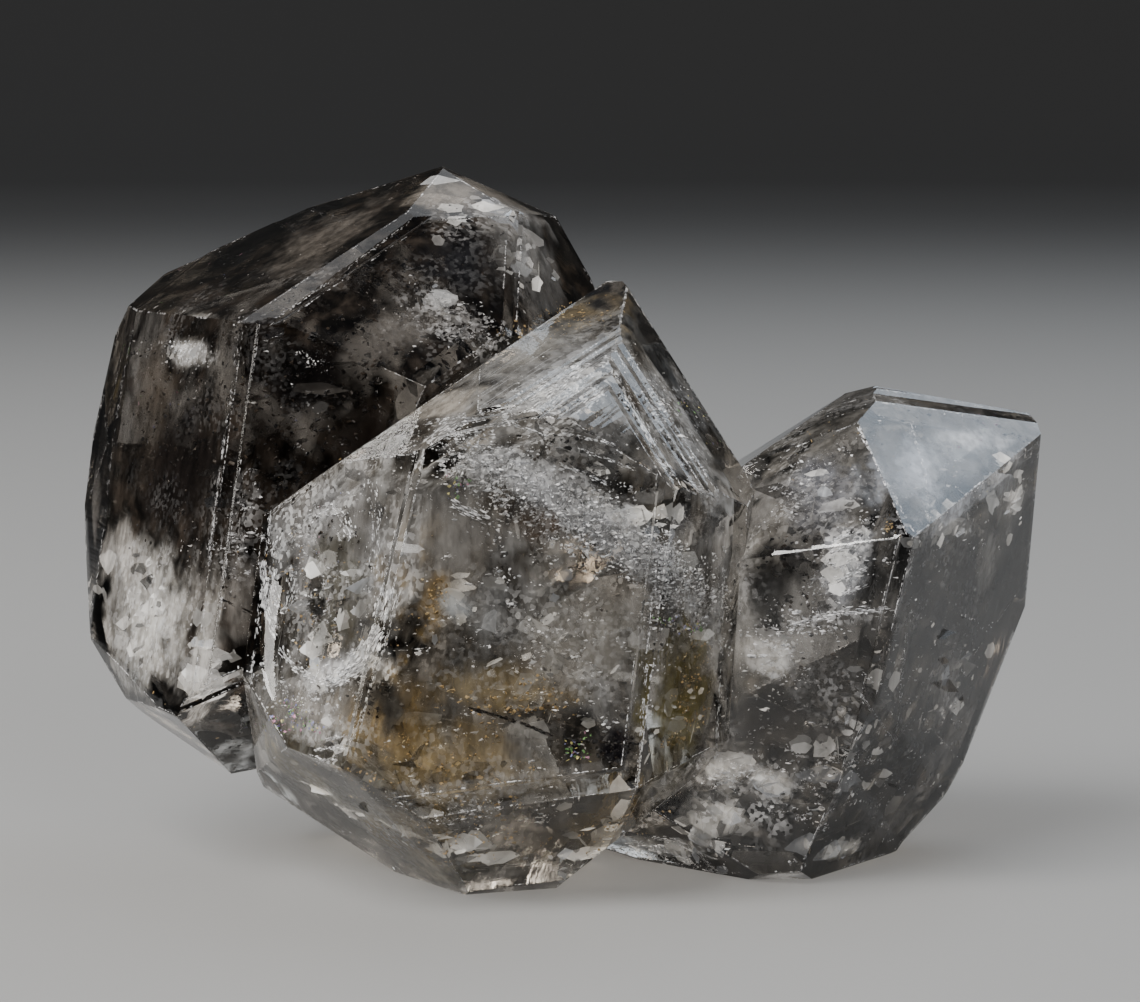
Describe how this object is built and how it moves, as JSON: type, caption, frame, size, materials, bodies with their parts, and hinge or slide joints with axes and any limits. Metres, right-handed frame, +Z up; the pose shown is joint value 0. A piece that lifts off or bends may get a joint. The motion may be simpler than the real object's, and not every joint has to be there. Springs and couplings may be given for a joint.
{
  "type": "herkimer diamond",
  "caption": "Cluster of intergrown, doubly terminated clear quartz crystals with flat faceted faces, resting on a small flat face.",
  "frame": {"origin": "centre of the bounding box in plan, on the plane that the cluster rests on", "axes": "+X along the row of crystals from the left one to the right one, -Y towards the viewer of the picture, +Z up"},
  "size_m": [0.0692, 0.0462, 0.0477],
  "materials": {
    "clear_quartz": "clear and glossy with smoky, milky and ochre inclusions"
  },
  "bodies": {
    "root": {"crystal_cluster": "clear_quartz"}
  },
  "joints": []
}
